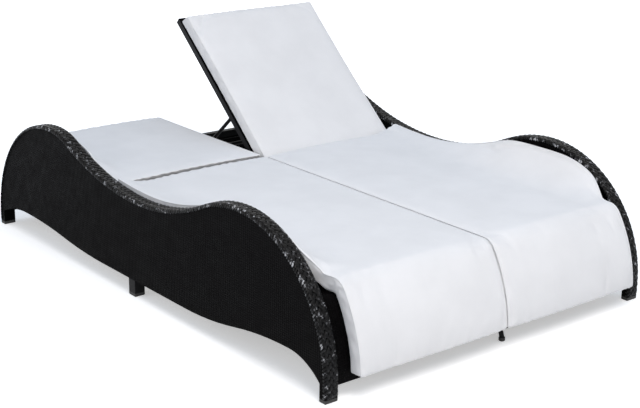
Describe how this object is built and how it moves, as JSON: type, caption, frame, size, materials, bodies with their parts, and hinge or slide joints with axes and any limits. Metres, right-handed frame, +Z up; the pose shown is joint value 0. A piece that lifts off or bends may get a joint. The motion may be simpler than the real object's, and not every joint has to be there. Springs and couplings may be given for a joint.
{
  "type": "double chaise lounger",
  "caption": "Double outdoor lounger with wavy woven side panels, a flat deck, side by side cushions and backrests that tilt up on folding props.",
  "frame": {"origin": "centre of the footprint on the floor, at the middle of the overall length and width", "axes": "+X towards the foot end, +Y towards the right-hand place as seen from the foot end, +Z up"},
  "size_m": [2.0526, 1.35, 0.7759],
  "materials": {
    "rattan": "black flat synthetic strand weave, satin",
    "steel": "black powder coat, satin",
    "caps": "black moulded foot, matt",
    "bolts": "zinc plated, satin",
    "cushion": "off-white woven cover with seams"
  },
  "bodies": {
    "frame": {"centre_foot_leg": "steel", "centre_head_leg": "steel", "foot_apron_weave": "rattan", "foot_lower_rail": "steel", "foot_rail": "steel", "frame_bolts": "bolts", "head_apron_weave": "rattan", "head_lower_rail": "steel", "head_rail": "steel", "head_support_rail": "steel", "hinge_bolts": "bolts", "hinge_lugs": "steel", "hinge_rail": "steel", "left_bottom_rail": "steel", "left_inner_weave": "rattan", "left_mid_leg": "steel", "left_outer_weave": "rattan", "left_prop_racks": "steel", "left_rim_wrap": "rattan", "left_seat_cushion": "cushion", "left_seat_side_rail": "steel", "left_seat_weave": "rattan", "left_top_rail": "steel", "left_uprights": "steel", "leg_caps": "caps", "mid_rail": "steel", "right_bottom_rail": "steel", "right_inner_weave": "rattan", "right_mid_leg": "steel", "right_outer_weave": "rattan", "right_prop_racks": "steel", "right_rim_wrap": "rattan", "right_seat_cushion": "cushion", "right_seat_side_rail": "steel", "right_seat_weave": "rattan", "right_top_rail": "steel", "right_uprights": "steel", "seat_centre_rail": "steel"},
    "left_backrest": {"left_back_cushion": "cushion", "left_back_foot_tube": "steel", "left_back_head_tube": "steel", "left_back_inner_tube": "steel", "left_back_outer_tube": "steel", "left_back_prop_tube": "steel", "left_back_weave": "rattan", "left_prop_bolts": "bolts"},
    "left_prop": {"left_prop_arms": "steel", "left_prop_bar": "steel"},
    "right_backrest": {"right_back_cushion": "cushion", "right_back_foot_tube": "steel", "right_back_head_tube": "steel", "right_back_inner_tube": "steel", "right_back_outer_tube": "steel", "right_back_prop_tube": "steel", "right_back_weave": "rattan", "right_prop_bolts": "bolts"},
    "right_prop": {"right_prop_arms": "steel", "right_prop_bar": "steel"}
  },
  "joints": [
    {"name": "left_backrest_tilt", "type": "hinge", "parent": "frame", "child": "left_backrest", "pos_m": [-0.26334, 0, 0.2765], "axis": [0, 1, 0], "range_deg": [0, 55]},
    {"name": "right_backrest_tilt", "type": "hinge", "parent": "frame", "child": "right_backrest", "pos_m": [-0.26334, 0, 0.2765], "axis": [0, 1, 0], "range_deg": [-41.6, 13.4]},
    {"name": "left_prop_swing", "type": "hinge", "parent": "left_backrest", "child": "left_prop", "pos_m": [-0.52834, 0, 0.2525], "axis": [0, 1, 0], "range_deg": [-110, 0]},
    {"name": "right_prop_swing", "type": "hinge", "parent": "right_backrest", "child": "right_prop", "pos_m": [-0.47745, 0, 0.43449], "axis": [0, 1, 0], "range_deg": [-26.8, 83.2]}
  ],
  "couplings": [
    {"joint": "left_prop_swing", "follows": "left_backrest_tilt", "ratio": -2},
    {"joint": "right_prop_swing", "follows": "right_backrest_tilt", "ratio": -2}
  ]
}
